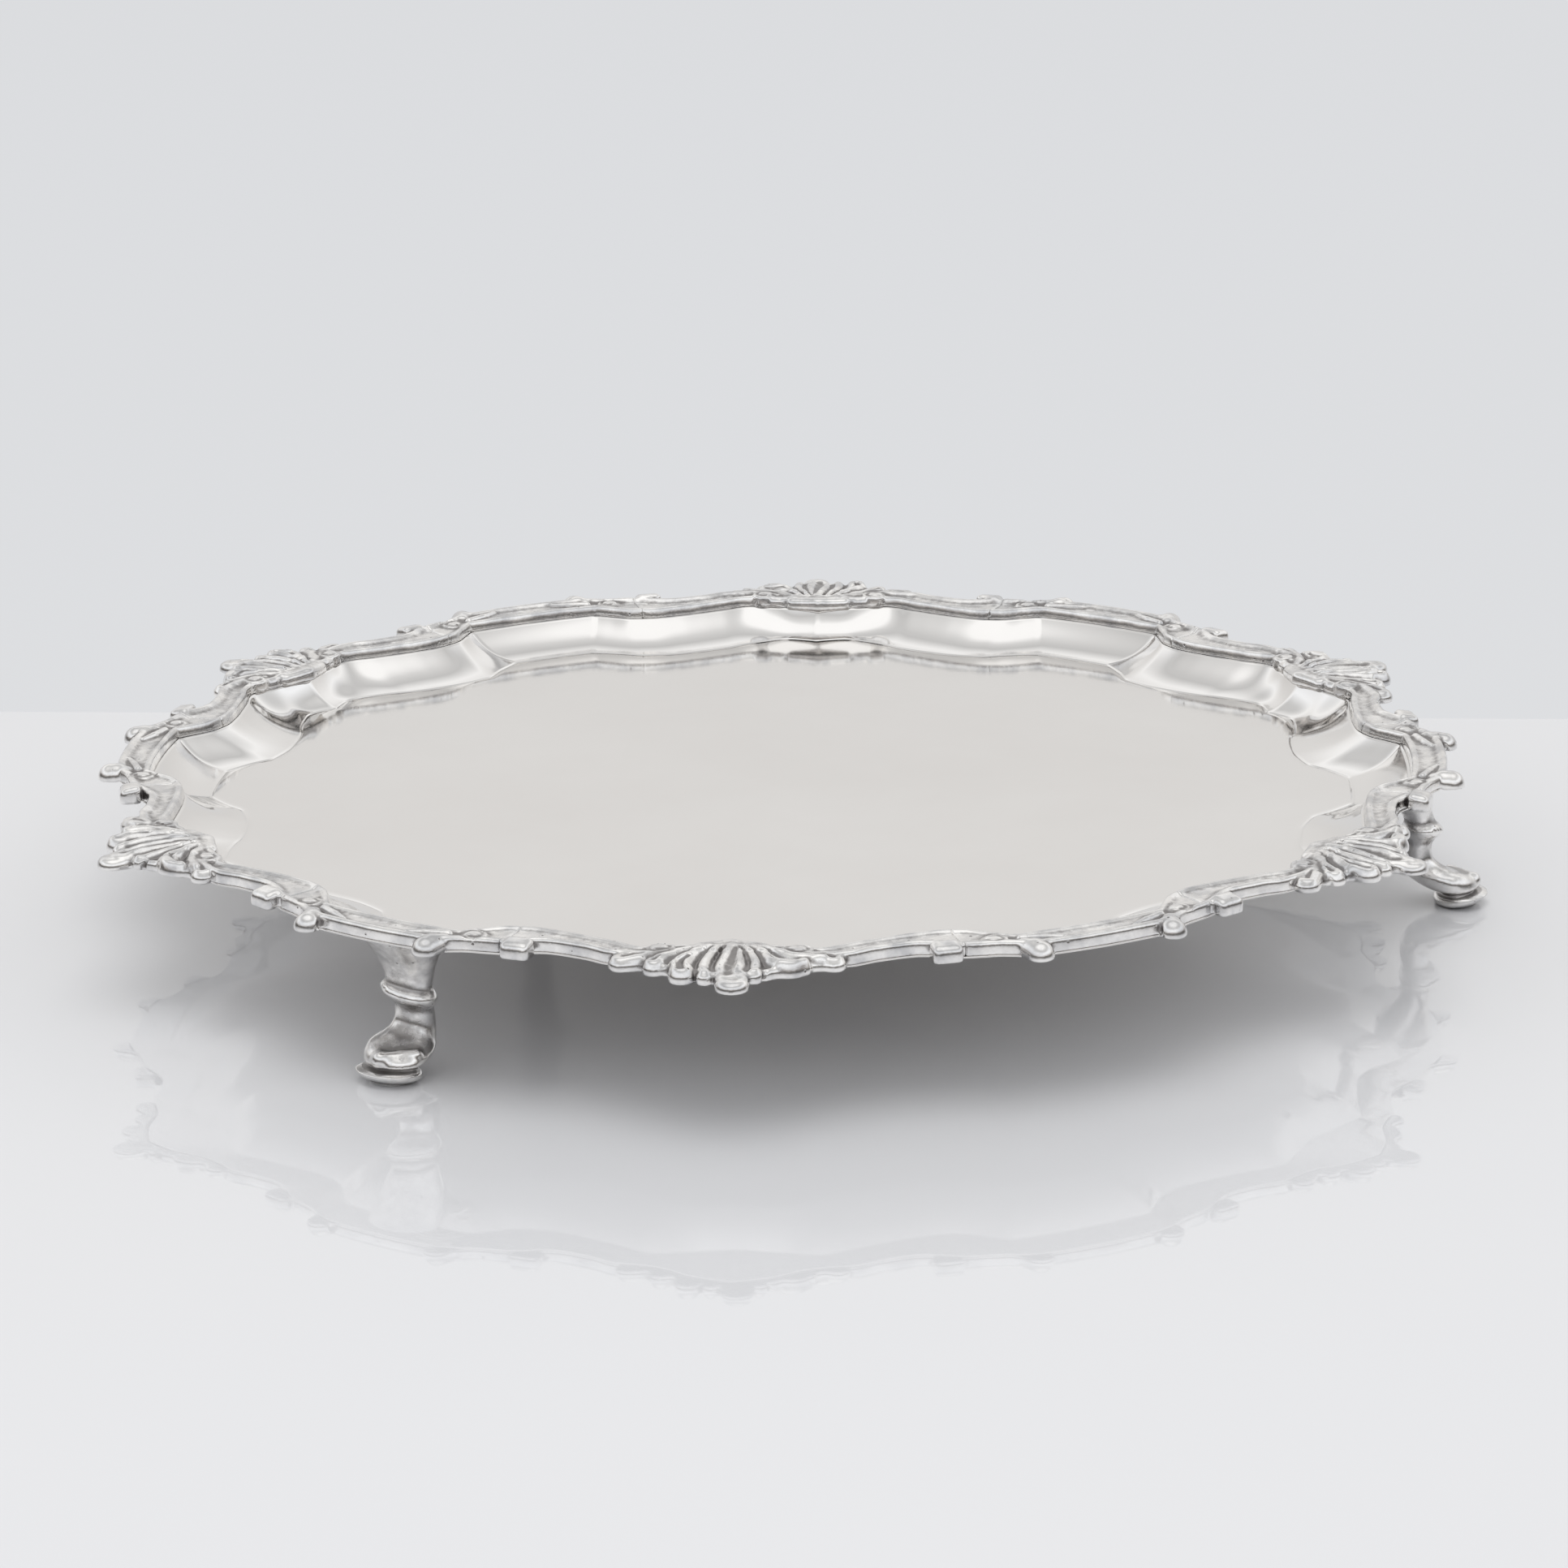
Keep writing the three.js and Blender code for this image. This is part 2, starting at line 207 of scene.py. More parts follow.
class Clay:
    """A distance is negative inside a shape, and is a function of the grid's x, y and z."""

    def __init__(self, low, high):
        self.low = np.array(low, float)
        counts = np.ceil((np.array(high, float) - self.low) / CLAY_STEP).astype(int) + 1
        self.axes = [self.low[a] + CLAY_STEP * np.arange(counts[a]) for a in range(3)]
        self.field = np.full(counts, FAR, np.float32)

    def plan(self):
        """The grid's x and y, seen from above."""
        return self.axes[0][:, None], self.axes[1][None, :]

    def block(self, low, high):
        """The slices of the grid inside a box, and their coordinates."""
        cut = []
        for a in range(3):
            first = max(0, int(np.floor((low[a] - self.low[a]) / CLAY_STEP)))
            last = min(len(self.axes[a]), int(np.ceil((high[a] - self.low[a]) / CLAY_STEP)) + 1)
            cut.append(slice(first, max(first, last)))
        grid = np.meshgrid(*[self.axes[a][cut[a]] for a in range(3)], indexing="ij", sparse=True)
        return tuple(cut), grid

    def add(self, distance, low=(-FAR,) * 3, high=(FAR,) * 3, blend=0.3):
        cut, grid = self.block(low, high)
        self.field[cut] = smooth_min(self.field[cut], distance(*grid), blend)

    def cut(self, distance, low=(-FAR,) * 3, high=(FAR,) * 3, blend=0.2):
        cut, grid = self.block(low, high)
        self.field[cut] = -smooth_min(-self.field[cut], distance(*grid), blend)

    def keep(self, distance, blend=0.1):
        """Cuts away all that lies outside a shape."""
        _, grid = self.block((-FAR,) * 3, (FAR,) * 3)
        self.field = -smooth_min(-self.field, -distance(*grid), blend).astype(np.float32)

    def rope(self, points, blend=0.3, cut=False):
        """A string of balls of [x, y, z, radius], joined by cones, and added or cut."""
        points = np.array(points, float)
        for a, b in zip(points[:-1], points[1:]):
            reach = max(a[3], b[3]) + 3 * blend + CLAY_STEP
            low, high = np.minimum(a, b)[:3] - reach, np.maximum(a, b)[:3] + reach

            def distance(x, y, z, a=a, b=b):
                along = b[:3] - a[:3]
                length2 = max(float((along ** 2).sum()), TINY)
                px, py, pz = x - a[0], y - a[1], z - a[2]
                t = np.clip((px * along[0] + py * along[1] + pz * along[2]) / length2, 0, 1)
                gap = np.sqrt((px - t * along[0]) ** 2 + (py - t * along[1]) ** 2 + (pz - t * along[2]) ** 2)
                return (gap - (a[3] + (b[3] - a[3]) * t)).astype(np.float32)

            (self.cut if cut else self.add)(distance, low, high, blend)

    def at(self, points, field=None):
        """The field's value at points, between grid points."""
        field = self.field if field is None else field
        just_inside = 1.001  # in steps: keeps every point short of the grid's last one
        place = (points - self.low) / CLAY_STEP
        place = np.clip(place, 0, np.array(field.shape) - just_inside)
        whole = place.astype(int)
        part = place - whole
        value = 0
        for corner in np.ndindex(2, 2, 2):
            weight = np.prod(np.where(corner, part, 1 - part), axis=-1)
            value = value + weight * field[tuple((whole + corner).T)]
        return value

    def hollows(self, points):
        """How deep in a hollow each point is: positive in grooves, negative on edges."""
        farthest, reach = 1.5, 4  # in millimetres and in steps of the grid
        blurred = np.clip(self.field, -farthest, farthest)
        for axis in range(3):
            total = sum(np.roll(blurred, shift, axis) for shift in range(-reach, reach + 1))
            blurred = total / (2 * reach + 1)
        return -self.at(points, blurred.astype(np.float32))

    def skin(self):
        """The surface as points and four-sided faces, by surface nets: a point in each cell it crosses."""
        inside = self.field < 0
        shape = np.array(self.field.shape) - 1
        total = np.zeros((*shape, 3), np.float32)
        count = np.zeros(shape, np.int16)
        crossings = []
        for axis in range(3):
            near, far = [slice(None)] * 3, [slice(None)] * 3
            near[axis], far[axis] = slice(None, -1), slice(1, None)
            near, far = tuple(near), tuple(far)
            where = np.nonzero(inside[near] != inside[far])
            first, second = self.field[near][where], self.field[far][where]
            at = np.stack(where, -1)
            place = at.astype(np.float32)
            place[:, axis] += first / (first - second)
            across = [a for a in range(3) if a != axis]
            crossings.append((axis, across, at, first < 0))
            for back in np.ndindex(2, 2):
                cell = at.copy()
                cell[:, across] -= back
                good = ((cell >= 0) & (cell < shape)).all(-1)
                np.add.at(total, tuple(cell[good].T), place[good])
                np.add.at(count, tuple(cell[good].T), 1)
        cells = np.nonzero(count)
        number = np.full(shape, -1)
        number[cells] = np.arange(len(cells[0]))
        points = total[cells] / count[cells][:, None] * CLAY_STEP + self.low
        faces = []
        for axis, across, at, outward in crossings:
            inner = ((at[:, across] > 0) & (at[:, across] < shape[across])).all(-1)
            at, outward = at[inner], outward[inner]
            corners = []
            for back in ((1, 1), (0, 1), (0, 0), (1, 0)):
                cell = at.copy()
                cell[:, across] -= back
                corners.append(number[tuple(cell.T)])
            quads = np.stack(corners, -1)
            # The corners above go round the other way on faces across Y.
            right_way = outward if axis != 1 else ~outward
            quads[~right_way] = quads[~right_way][:, ::-1]
            faces.append(quads)
        for _ in range(3):
            points = self.pulled(points)
        faces = np.concatenate(faces)
        return relaxed(points, faces), faces

    def pulled(self, points):
        """Points moved onto the surface, or as far towards it as farthest lets them."""
        offset, least_steep, farthest = 0.6 * CLAY_STEP, 0.2, 0.4 * CLAY_STEP
        slope = [self.at(points + d) - self.at(points - d) for d in np.eye(3) * offset]
        slope = np.stack(slope, -1) / (2 * offset)
        steep = np.maximum((slope ** 2).sum(-1), least_steep)
        move = slope * (self.at(points) / steep)[:, None]
        return points - np.clip(move, -farthest, farthest)


def relaxed(points, faces, rounds=2):
    """Points moved halfway to the middle of their neighbours, which smooths out the grid's steps."""
    ends = np.concatenate([faces[:, [a, (a + b) % 4]] for a in range(4) for b in (1, 3)])
    count = np.bincount(ends[:, 0], minlength=len(points))
    for _ in range(rounds):
        middle = [np.bincount(ends[:, 0], points[ends[:, 1], c], len(points)) / count for c in range(3)]
        points = (points + np.stack(middle, -1)) / 2
    return points


def to_stretch(x, y, a, b):
    """The distance in plan from a grid's points to the stretch from a to b, and the share of it passed."""
    along = b[:2] - a[:2]
    length2 = max(float((along ** 2).sum()), TINY)
    share = np.clip(((x - a[0]) * along[0] + (y - a[1]) * along[1]) / length2, 0, 1)
    return np.hypot(x - a[0] - share * along[0], y - a[1] - share * along[1]), share


def plan_distance(x, y, line):
    """The distance in plan from a grid's points to a line of points."""
    best = FAR
    for a, b in zip(line[:-1], line[1:]):
        best = np.minimum(best, to_stretch(x, y, a, b)[0])
    return best


def nearest(x, y, line):
    """The distance in plan from a grid's points to a line, and the line's height and half width there."""
    gap, height, half = np.full(np.broadcast(x, y).shape, FAR), 0, 1
    for a, b in zip(line[:-1], line[1:]):
        here, share = to_stretch(x, y, a, b)
        closer = here < gap
        gap = np.where(closer, here, gap)
        height = np.where(closer, a[2] + (b[2] - a[2]) * share, height)
        half = np.where(closer, a[3] + (b[3] - a[3]) * share, half)
    return gap, height, half


def smooth_line(points, steps=5):
    """A finer line in millimetres through points of [degrees, fraction of RADIUS, height, half width]."""
    points = np.array(points, float)
    whole = np.arange(len(points))
    at = np.linspace(0, len(points) - 1, (len(points) - 1) * steps + 1)
    fine = [curve_through(np.stack([whole, column], -1))(at) for column in points.T]
    return np.array(knots(np.stack(fine, -1)))


def steepness(top):
    """By how much a height over a surface of heights has to shrink to be a distance."""
    steepest = 2
    slope = np.hypot(*np.gradient(top, CLAY_STEP))
    return np.sqrt(1 + np.minimum(slope, steepest) ** 2)[:, :, None]


# ---- Shapes that both kinds of casting share ----


def moulding(clay, start, end):
    """The swept section: an upright face with a rounded ridge, a broad channel and an inner bead."""
    margin, spacing = 4, 0.2  # in degrees
    angles = np.arange(start - margin, end + margin, spacing)
    outer = polar(angles, edge(angles), 0)[:, :2]
    inner = polar(angles, wall_top(angles), 0)[:, :2]
    x, y = clay.plan()
    angle, radius = plan_polar(x, y)
    depth = plan_distance(x, y, outer) * np.where(radius < edge(angle), 1, -1)
    inset = plan_distance(x, y, inner) * np.where(radius > wall_top(angle), 1, -1)
    ridge = (RIDGE_TOP - CHANNEL) * hump(depth - RIDGE_INSET, RIDGE_WIDTH)
    bead = (BEAD_TOP - CHANNEL) * hump(inset - BEAD_INSET, BEAD_WIDTH)
    fall = np.clip(1 - inset / BEAD_INSET, 0, 1.5)
    top = np.where(inset < BEAD_INSET, BEAD_TOP - BEAD_FALL * fall ** 2, CHANNEL + ridge + bead)
    steep = steepness(top)
    top, sides = top[:, :, None], np.maximum(-depth, -inset)[:, :, None]
    clay.add(lambda x, y, z: smooth_max(sides, (z - top) / steep, EDGE_ROUNDING))


def pillow(clay, points, bottom=FLANGE_BOTTOM, rounding=1.6, blend=0.25):
    """A lobe with an upright edge and a domed top, from [degrees, fraction of RADIUS, top, half width]."""
    points = np.array(knots(points))
    margin, roundest = 1.5, 1.3  # in millimetres, and as a share of the half width
    for a, b in zip(points[:-1], points[1:]):
        widest = max(a[3], b[3])
        reach = widest + margin
        low, high = np.minimum(a, b)[:3] - reach, np.maximum(a, b)[:3] + reach
        low[2] = 0

        def distance(x, y, z, a=a, b=b, rounding=min(rounding, roundest * widest)):
            gap, share = to_stretch(x, y, a, b)
            side = gap - (a[3] + (b[3] - a[3]) * share)
            dome = smooth_max(side + 0 * z, z - (a[2] + (b[2] - a[2]) * share), rounding)
            return smooth_max(dome, bottom - z + 0 * side, UNDER_ROUNDING)

        clay.add(distance, low, high, blend)


def trim(clay, start, end):
    """Cuts a casting square at its two ends, and flat underneath where it sits on the sheet."""
    for angle, side in ((start, -1), (end, 1)):
        across = polar(angle + 90, 1, 0) * side

        def beyond(x, y, z, across=across):
            return x * across[0] + y * across[1] + 0 * z - SEAM_OVERLAP

        clay.keep(beyond, blend=SHARP)
    angle, radius = plan_polar(*clay.plan())
    over_sheet = radius < rim_edge(angle) + OVERHANG
    floor = np.where(over_sheet, FLANGE_TOP + SEAT_GAP, FLANGE_BOTTOM)[:, :, None]
    clay.keep(lambda x, y, z: floor - z)


def volute(clay, angle, radius, top, size, hand):
    """A scroll's eye: a low dome with a groove that winds inwards round its button."""
    dot = 0.02  # in degrees: so short that the pillow is round
    ends = [[angle - dot, radius, top, size], [angle + dot, radius, top, size]]
    pillow(clay, ends, bottom=FLANGE_TOP, rounding=1.1)
    centre = polar(angle, radius * RADIUS, top)
    turns, steps = 1.3, 22
    start, end = 1.02, 0.5  # the groove's distance from the centre, as a share of the eye's size
    lift, groove_radius = 0.1, 0.5
    groove = []
    for i in range(steps + 1):
        share = i / steps
        turn = hand * share * turns * 2 * math.pi + math.radians(angle)
        reach = size * (start + (end - start) * share)
        x, y = centre[0] + reach * math.cos(turn), centre[1] + reach * math.sin(turn)
        groove.append([x, y, top + lift, groove_radius])
    clay.rope(groove, blend=0.15, cut=True)


# ---- The shell casting ----

# The squared block that ends each of a shell's arms.
KNOB_ANGLE = 17.2
KNOB_RADIUS = 0.894
KNOB_TOP = 8.6
KNOB_HALF_LENGTH = 2.25
KNOB_HALF_WIDTH = 3
KNOB_CORNER = 1.2
KNOB_ROUNDING = 1.5
KNOB_SLOPE = 0.16  # how much its top falls outwards
KNOB_GROOVE = [[-3, 8.5, 0.3], [2, 8.2, 0.3], [2, 6.4, 0.2]]  # beside it, as [distance out, height, radius]
KNOB_GROOVE_GAP = 0.3

# Lobes of the shell from its root outwards, as [degrees, fraction of RADIUS, height, half width].
SHELL_LOBES = [
    [[-3.4, 0.866, 7.7, 1.2], [-5, 0.884, 8, 1.8], [-7, 0.899, 8.2, 2.4], [-8.3, 0.906, 7.9, 2.6]],
    [[-2.6, 0.864, 8, 1.2], [-3.9, 0.882, 8.3, 1.8], [-5.1, 0.902, 8.5, 2.2], [-5.6, 0.918, 8.1, 2.3]],
    [[-1.7, 0.862, 8.2, 1.1], [-2.7, 0.888, 8.7, 1.8], [-3.4, 0.918, 8.9, 2.4], [-3.25, 0.944, 8.3, 2.6]],
    [[-0.9, 0.862, 8.3, 0.9], [-1.5, 0.895, 8.6, 1.3], [-1.7, 0.925, 8.4, 1.5], [-1.5, 0.951, 7.7, 1.6]],
    [[1.1, 0.862, 8.3, 0.9], [1.9, 0.895, 8.6, 1.3], [2.2, 0.92, 8.4, 1.5], [2.1, 0.944, 7.8, 1.7]],
    [[1.9, 0.863, 8.2, 1.1], [2.7, 0.885, 8.6, 1.5], [3.5, 0.912, 8.7, 2], [4.7, 0.922, 8.5, 2.1],
     [5.7, 0.913, 8.2, 1.9]],
    [[2.9, 0.865, 8, 1.1], [4.2, 0.884, 8.4, 1.4], [5.9, 0.897, 8.4, 1.5], [7.4, 0.901, 8.2, 1.6]],
    [[4.2, 0.868, 7.8, 1.1], [6, 0.882, 8, 1.4], [7.7, 0.892, 8.1, 2], [8.2, 0.9, 7.9, 2.5]],
]
CENTRE_LOBE = [[0.1, 0.858, 8.3, 1.6], [0.3, 0.89, 8.9, 2.6], [0.35, 0.925, 9, 3], [0.5, 0.958, 7.9, 3.1]]
# A web of metal under the lobes, which closes the gaps between them.
SHELL_WEB = [[-7, 0.889, 6.9, 3], [-3.5, 0.905, 7, 4.5], [0.4, 0.916, 7.1, 6.5], [3.5, 0.905, 7, 4.5],
             [7, 0.889, 6.9, 3]]
LOBE_FALL = 1.5  # from a lobe's middle to its half width
LOBE_ROUNDING = 0.7
LOBE_UNDER_ROUNDING = 0.6
LIP_HEIGHT = 0.4
LIP_INSET = 0.9
LIP_WIDTH = 0.6
# Hollows in the tops of the lobes, measured as the lobes are.
DISHES = [
    [[0.5, 0.868, 8, 0.7], [0.4, 0.895, 7.9, 1.4], [0.2, 0.925, 7.6, 1.9], [0, 0.95, 7.2, 1.7]],
    [[-3, 0.905, 8, 0.6], [-3.5, 0.925, 7.7, 1], [-3.3, 0.945, 7.3, 1.1]],
    [[-5.2, 0.9, 8, 0.5], [-5.7, 0.915, 7.6, 0.9]],
    [[3.1, 0.895, 8.2, 0.4], [3.9, 0.913, 7.9, 0.6], [5.4, 0.913, 7.7, 0.6]],
    [[-6.6, 0.893, 7.8, 0.6], [-8.2, 0.905, 7.5, 1]],
    [[7.2, 0.892, 7.8, 0.6], [8.2, 0.901, 7.5, 0.9]],
]
DISH_RISE = 1.1  # from a dish's middle to its half width
# Notches in the shell's outer face, as ropes of [degrees, fraction of RADIUS, height, radius].
NOTCHES = [
    [[-8.3, 0.928, 6.9, 0.75], [-8, 0.929, 6.4, 0.75]],
    [[8, 0.923, 7, 0.75], [8.2, 0.923, 6.5, 0.75]],
    [[-6.55, 0.917, 8.4, 0.45], [-6.6, 0.922, 6, 0.5], [-6.6, 0.922, 4.9, 0.5]],
    [[6.7, 0.915, 8.4, 0.35], [6.7, 0.92, 6, 0.45], [6.7, 0.92, 4.9, 0.45]],
    [[-4.5, 0.93, 8.4, 0.4], [-4.55, 0.936, 6, 0.5], [-4.55, 0.936, 4.9, 0.5]],
    [[2.85, 0.936, 8.3, 0.35], [2.85, 0.945, 6, 0.45], [2.85, 0.945, 4.9, 0.45]],
    [[4.6, 0.945, 7, 0.6], [5.6, 0.939, 6.8, 0.6]],
]
# The scalloped edge of the shell's root, over the top of the wall.
SHELL_ROOT = [[[-2.6, 0.85, 8, 1.7], [0, 0.843, 8.2, 2.2], [2.6, 0.85, 8, 1.7]],
              [[-4, 0.857, 7.9, 1.3], [-5, 0.863, 7.8, 1.4]],
              [[4, 0.857, 7.9, 1.3], [5, 0.863, 7.8, 1.4]]]
# Small drilled eyes between the lobes' roots, as [degrees, fraction of RADIUS].
SHELL_EYES = [[-1.3, 0.866], [1.3, 0.866], [-2.9, 0.872], [-2.1, 0.876]]
EYE_TOP, EYE_BOTTOM, EYE_RADIUS = 9.1, 8.2, 0.35
SHELL_VOLUTE = [5.6, 0.872, 8.4, 2.8]  # degrees, fraction of RADIUS, height and size
# The centre lobe's end hangs out and down past the others, and a groove turns it up in a lip.
CURL = [[0.6, 0.95, 7.2, 3], [0.6, 0.972, 7.3, 3.3]]
CURL_BOTTOM = 4.5
CURL_GROOVE = [[0.1, 0.935, 9.2, 1.5], [0.25, 0.956, 8.7, 1.4]]


def knob(clay, angle):
    """The squared block that ends a shell's arm, with a groove along each side."""
    middle = polar(angle, KNOB_RADIUS * RADIUS, 0)
    out, across = polar(angle, 1, 0), polar(angle + 90, 1, 0)

    def block(x, y, z):
        u = (x - middle[0]) * out[0] + (y - middle[1]) * out[1]
        v = (x - middle[0]) * across[0] + (y - middle[1]) * across[1]
        qu = np.abs(u) - KNOB_HALF_LENGTH + KNOB_CORNER
        qv = np.abs(v) - KNOB_HALF_WIDTH + KNOB_CORNER
        outside, inside = np.hypot(np.maximum(qu, 0), np.maximum(qv, 0)), np.minimum(np.maximum(qu, qv), 0)
        plan = outside + inside - KNOB_CORNER
        dome = smooth_max(plan + 0 * z, z - KNOB_TOP + KNOB_SLOPE * u + 0 * plan, KNOB_ROUNDING)
        return smooth_max(dome, FLANGE_BOTTOM - z + 0 * plan, UNDER_ROUNDING)

    reach = 8
    clay.add(block, middle - reach, middle + reach + [0, 0, CLAY_HIGH], blend=0.2)
    for side in (-1, 1):
        beside = middle + across * side * (KNOB_HALF_WIDTH + KNOB_GROOVE_GAP)
        groove = [[*(beside + out * distance)[:2], height, ball] for distance, height, ball in KNOB_GROOVE]
        clay.rope(groove, blend=0.2, cut=True)


def shell_relief(clay):
    """The fan of lobes: rounded ridges with sharp valleys between, a rolled lip all round, and dishes."""
    x, y = clay.plan()
    side_by_side, valley, dish_rim = 0.4, 0.15, 0.3  # how far each of these is blended
    gap, top, half = nearest(x, y, smooth_line(SHELL_WEB))
    outline = gap - half
    for lobe in [*SHELL_LOBES, CENTRE_LOBE]:
        gap, height, half = nearest(x, y, smooth_line(lobe))
        outline = smooth_min(outline, gap - half, side_by_side)
        top = smooth_max(top, height - LOBE_FALL * (gap / half) ** 2, valley)
    top = top + LIP_HEIGHT * hump(outline + LIP_INSET, LIP_WIDTH)
    for dish in DISHES:
        gap, height, half = nearest(x, y, smooth_line(dish))
        top = smooth_min(top, height + DISH_RISE * (gap / half) ** 2, dish_rim)
    steep = steepness(top)
    outline, top = outline[:, :, None], top[:, :, None]

    def fan(x, y, z):
        domed = smooth_max(outline + 0 * z, (z - top) / steep, LOBE_ROUNDING)
        return smooth_max(domed, FLANGE_BOTTOM - z + 0 * top, LOBE_UNDER_ROUNDING)

    clay.add(fan, blend=0.35)


def shell_clay():
    """The shell that stands on -Y, with its root, lobes, volutes, arms and knobs."""
    corner = polar(SEAM, 0.915 * RADIUS, 0)
    inner_corner = polar(SEAM, 0.81 * RADIUS, 0)
    side, outside, inside = corner[0] + 2, -RADIUS - 2, inner_corner[1] + 3
    clay = Clay((-side, outside, CLAY_LOW), (side, inside, CLAY_HIGH))
    moulding(clay, -SEAM, SEAM)
    for petal in SHELL_ROOT:
        pillow(clay, petal, bottom=FLANGE_TOP, blend=0.3)
    for hand in (-1, 1):
        angle, radius, top, size = SHELL_VOLUTE
        volute(clay, hand * angle, radius, top, size, hand)
        knob(clay, hand * KNOB_ANGLE)
    shell_relief(clay)
    pillow(clay, CURL, bottom=CURL_BOTTOM, rounding=1.8)
    clay.rope(knots(CURL_GROOVE), blend=0.6, cut=True)
    for notch in NOTCHES:
        clay.rope(knots(notch), blend=0.35, cut=True)
    for eye in SHELL_EYES:
        clay.rope(knots([[*eye, EYE_TOP, EYE_RADIUS], [*eye, EYE_BOTTOM, EYE_RADIUS]]), blend=0.2, cut=True)
    trim(clay, -SEAM, SEAM)
    return clay


# ---- The scroll casting ----

# The ear at one of the casting's two corners, the crease behind it, the leaf over it and the volute beside
# it, all as [degrees, fraction of RADIUS, height, radius].
EAR = [[23.5, 0.902, 6.4, 2], [24, 0.913, 6, 2.6], [24.2, 0.9235, 5.7, 2.8]]
EAR_CREASE = [[25.4, 0.9, 8.8, 0.3], [25.25, 0.917, 8.5, 0.4], [25.25, 0.925, 5.4, 0.4]]
LEAF = [[23.6, 0.885, 7.4, 0.9], [25.4, 0.893, 7.5, 0.75], [27, 0.903, 7.7, 0.4]]
SCROLL_VOLUTE = [21.5, 0.878, 8.1, 2.7]


def reflected(points):
    """The same shape on the other side of the middle of the scroll casting."""
    return [[SECTOR - k, *rest] for k, *rest in points]


def scroll_clay():
    """The casting that follows the shell on -Y anticlockwise."""
    near, far = polar(SEAM, 0.95 * RADIUS, 0), polar(SECTOR - SEAM, 0.95 * RADIUS, 0)
    inner_near, inner_far = polar(SEAM, 0.81 * RADIUS, 0), polar(SECTOR - SEAM, 0.81 * RADIUS, 0)
    margin = 3
    clay = Clay((inner_near[0] - margin, near[1] - margin, CLAY_LOW),
                (far[0] + margin, inner_far[1] + margin, CLAY_HIGH))
    moulding(clay, SEAM, SECTOR - SEAM)
    for placed, hand in ((list, 1), (reflected, -1)):
        clay.rope(knots(placed(EAR)), blend=0.4)
        clay.rope(knots(placed(EAR_CREASE)), blend=0.2, cut=True)
        clay.rope(knots(placed(LEAF)), blend=0.25)
        for eye in placed([SCROLL_VOLUTE]):
            volute(clay, *eye, hand)
    trim(clay, SEAM, SECTOR - SEAM)
    return clay


# ---- The foot ----

# Its outline as [height over the floor, back, front, half width], with back and front from the salver's axis.
FOOT_RINGS = [
    # The sole and the pad over it.
    [0, 138.6, 147, 4.3], [0.5, 138, 148.4, 5.8], [1.3, 137.8, 149, 6.7], [2.2, 138.2, 149.3, 6.9],
    [2.8, 139.2, 147.2, 5.8], [3.2, 138.4, 146, 5.6], [3.9, 136, 147.2, 6.4], [5, 133.8, 147, 6.6],
    [6.2, 132.2, 145.8, 6.2], [7.2, 131.6, 142.8, 5.2],
    # The ankle and its collar.
    [8.4, 131.1, 140, 4.5], [10.4, 130.9, 138.2, 4.1], [13, 131.2, 137.6, 4.1], [14.2, 131.5, 138.1, 4.7],
    [15.2, 131.1, 139.2, 5.6], [16.2, 130.9, 139.7, 5.9], [17.2, 131, 139.1, 5.5], [18.1, 131.4, 138, 4.9],
    # The knee.
    [20.4, 130.4, 137.2, 5.5], [23, 128.6, 137.3, 6.6], [26, 126, 137.8, 7.6], [30, 123.4, 138.2, 8.4],
]
KNEE_TOP = 32
SOLDER = 0.15  # how far the knee's top is let into the sheet
LEAN_HEIGHT = 30
LEAN_POWER = 3
FOOT_LEANS = [8.6, 0, 0]  # the first foot is bent in under the salver
# The rings slope across the foot by TILT, which comes in over one pair of heights and goes out over another.
TILT = 0.16
TILT_IN = 3, 7
TILT_OUT = 22, 17
# The sole turns up in front of TOE_START, fully at the last height and not at all at the first.
TOE_SLOPE = 0.14
TOE_START = 141.5
TOE_FADE = 3.4, 1.9
DENT = 0.3  # the hollow down the ankle's front, as a share of its depth
DENT_HALF_WIDTH = 2.8
DENT_MIDDLE = 10
DENT_HALF_HEIGHT = 3.4
PAD_LIP = [[141.5, -5.2, 5.6, 1.2], [146, 0, 5, 1.6], [141.5, 5.2, 5.6, 1.2]]
COLLAR_NOTCHES = [-4.9, -4.1, -3.2]  # across the collar's front
COLLAR_MIDDLE, COLLAR_HALF_DEPTH, COLLAR_HALF_WIDTH = 135.3, 4.3, 5.9
COLLAR_TOP, COLLAR_BOTTOM = 18, 14.8
NOTCH_RADIUS = 0.4


def under_sheet(out, across):
    """The height over the floor of the sheet's underside, over a point of a foot."""
    angle = HALF_SECTOR + np.degrees(np.arctan2(across, out))
    foot, top = field_edge(angle), wall_top(angle)
    share = np.clip((np.hypot(out, across) - foot) / (top - foot), 0, 1)
    return cove_height(share) - sheet_thickness(share) - FLOOR


